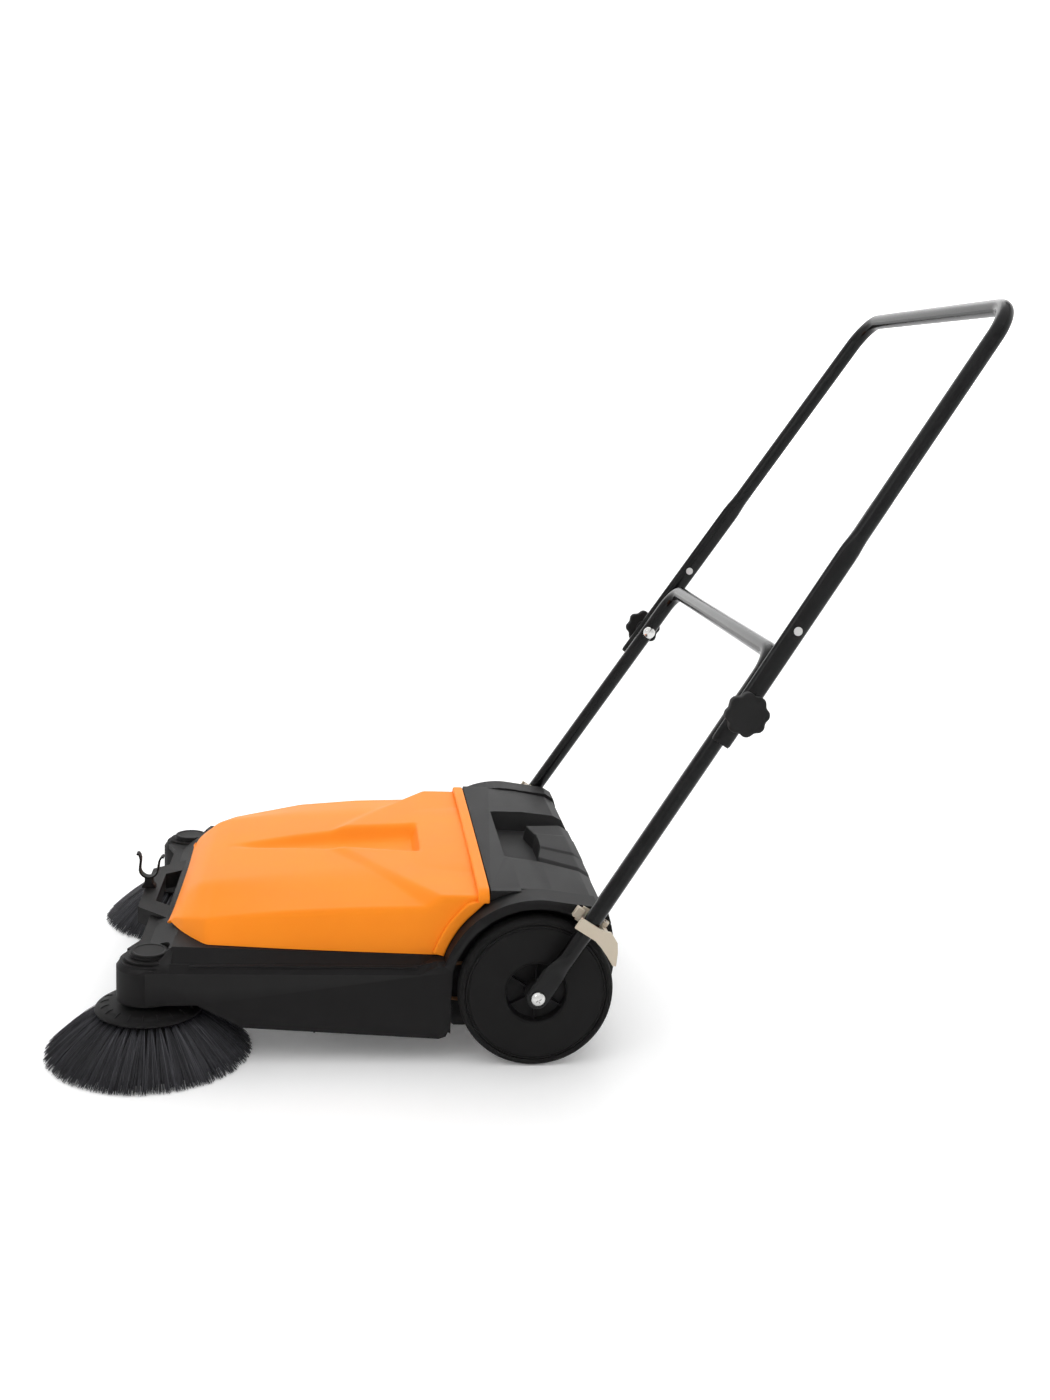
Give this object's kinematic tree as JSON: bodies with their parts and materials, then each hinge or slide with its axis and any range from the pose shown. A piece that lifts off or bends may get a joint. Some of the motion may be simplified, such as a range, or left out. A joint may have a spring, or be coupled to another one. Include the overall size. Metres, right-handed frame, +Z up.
{
  "type": "push floor sweeper",
  "caption": "Walk-behind push floor sweeper with driven side brushes, a main brush roller, a rear dirt hopper and a folding tubular handle.",
  "frame": {"origin": "centre of the bounding box at floor level", "axes": "+Z up, -Y the front with the side brushes, +X the sweeper's left side"},
  "size_m": [0.757, 1.1776, 0.9938],
  "materials": {
    "body_black": "matte",
    "top_black": "matte",
    "hood_orange": "satin",
    "wheel_black": "matte",
    "tyre_rubber": "matte",
    "flap_rubber": "matte",
    "bristle_grey": "matte",
    "tube_black": "gloss",
    "bright_steel": "polished",
    "latch_beige": "satin",
    "belt_brown": "satin",
    "nylon_white": "satin",
    "knob_black": "matte"
  },
  "bodies": {
    "body": {"chassis": "body_black", "hood": "hood_orange", "rear_flap": "flap_rubber", "front_flap": "flap_rubber", "left_axle_bolt": "bright_steel", "right_axle_bolt": "bright_steel", "left_axle_nut": "bright_steel", "right_axle_nut": "bright_steel", "left_wheel_bush": "nylon_white", "right_wheel_bush": "nylon_white", "left_spindle_bush": "nylon_white", "right_spindle_bush": "nylon_white", "left_boss_cap": "body_black", "right_boss_cap": "body_black", "left_brush_belt": "belt_brown", "right_brush_belt": "belt_brown", "left_roller_bearing": "nylon_white", "right_roller_bearing": "nylon_white", "roller_belt": "belt_brown", "left_latch_base": "latch_beige", "right_latch_base": "latch_beige", "left_latch_pin": "bright_steel", "right_latch_pin": "bright_steel", "snap_clip": "body_black", "clip_screw": "bright_steel", "hood_screw_1": "bright_steel", "hood_screw_2": "bright_steel", "hood_screw_3": "bright_steel", "hood_screw_4": "bright_steel"},
    "hopper": {"hopper": "top_black"},
    "lower_handle": {"lower_handle": "tube_black", "left_knob_bolt": "bright_steel", "right_knob_bolt": "bright_steel"},
    "upper_handle": {"upper_handle": "tube_black", "left_leg_plug": "nylon_white", "right_leg_plug": "nylon_white"},
    "roller": {"roller_shaft": "bright_steel", "roller_core": "body_black", "roller_bristles": "bristle_grey", "roller_pulley": "nylon_white"},
    "left_wheel": {"left_wheel": "wheel_black", "left_tyre": "tyre_rubber", "left_wheel_pulley": "nylon_white"},
    "left_brush": {"left_brush_spindle": "bright_steel", "left_brush_pulley": "nylon_white", "left_brush_plate": "body_black", "left_bristles": "bristle_grey", "left_brush_nut": "bright_steel"},
    "left_knob": {"left_knob": "knob_black"},
    "left_latch": {"left_latch": "latch_beige"},
    "right_wheel": {"right_wheel": "wheel_black", "right_tyre": "tyre_rubber", "right_wheel_pulley": "nylon_white"},
    "right_brush": {"right_brush_spindle": "bright_steel", "right_brush_pulley": "nylon_white", "right_brush_plate": "body_black", "right_bristles": "bristle_grey", "right_brush_nut": "bright_steel"},
    "right_knob": {"right_knob": "knob_black"},
    "right_latch": {"right_latch": "latch_beige"}
  },
  "joints": [
    {"name": "left_wheel_spin", "type": "hinge", "parent": "body", "child": "left_wheel", "pos_m": [0.283, 0.0307, 0.1], "axis": [1, 0, 0], "continuous": true},
    {"name": "right_wheel_spin", "type": "hinge", "parent": "body", "child": "right_wheel", "pos_m": [-0.283, 0.0307, 0.1], "axis": [1, 0, 0], "continuous": true},
    {"name": "left_brush_spin", "type": "hinge", "parent": "body", "child": "left_brush", "pos_m": [0.248, -0.4583, 0.1], "axis": [0, 0, 1], "continuous": true},
    {"name": "right_brush_spin", "type": "hinge", "parent": "body", "child": "right_brush", "pos_m": [-0.248, -0.4583, 0.1], "axis": [0, 0, 1], "continuous": true},
    {"name": "roller_spin", "type": "hinge", "parent": "body", "child": "roller", "pos_m": [0, -0.1613, 0.072], "axis": [1, 0, 0], "continuous": true},
    {"name": "handle_fold", "type": "hinge", "parent": "body", "child": "lower_handle", "pos_m": [0, 0.0307, 0.1], "axis": [1, 0, 0], "range_deg": [0, 115.1]},
    {"name": "upper_fold", "type": "hinge", "parent": "lower_handle", "child": "upper_handle", "pos_m": [0, 0.2651, 0.4783], "axis": [1, 0, 0], "range_deg": [-105, 0]},
    {"name": "left_knob_turn", "type": "hinge", "parent": "lower_handle", "child": "left_knob", "pos_m": [0.32, 0.2651, 0.4783], "axis": [1, 0, 0], "continuous": true},
    {"name": "right_knob_turn", "type": "hinge", "parent": "lower_handle", "child": "right_knob", "pos_m": [-0.32, 0.2651, 0.4783], "axis": [1, 0, 0], "continuous": true},
    {"name": "left_latch_swing", "type": "hinge", "parent": "body", "child": "left_latch", "pos_m": [0.30165, 0.1074, 0.1895], "axis": [0, 0.5268, 0.85], "range_deg": [0, 40]},
    {"name": "right_latch_swing", "type": "hinge", "parent": "body", "child": "right_latch", "pos_m": [-0.30165, 0.1074, 0.1895], "axis": [0, -0.5268, -0.85], "range_deg": [0, 40]},
    {"name": "hopper_lift", "type": "slide", "parent": "body", "child": "hopper", "axis": [0, 0.8192, 0.5736], "range_m": [0, 0.25]}
  ],
  "couplings": [
    {"joint": "left_brush_spin", "follows": "left_wheel_spin", "ratio": -1.7778},
    {"joint": "right_brush_spin", "follows": "right_wheel_spin", "ratio": 1.7778},
    {"joint": "roller_spin", "follows": "right_wheel_spin", "ratio": 2}
  ]
}
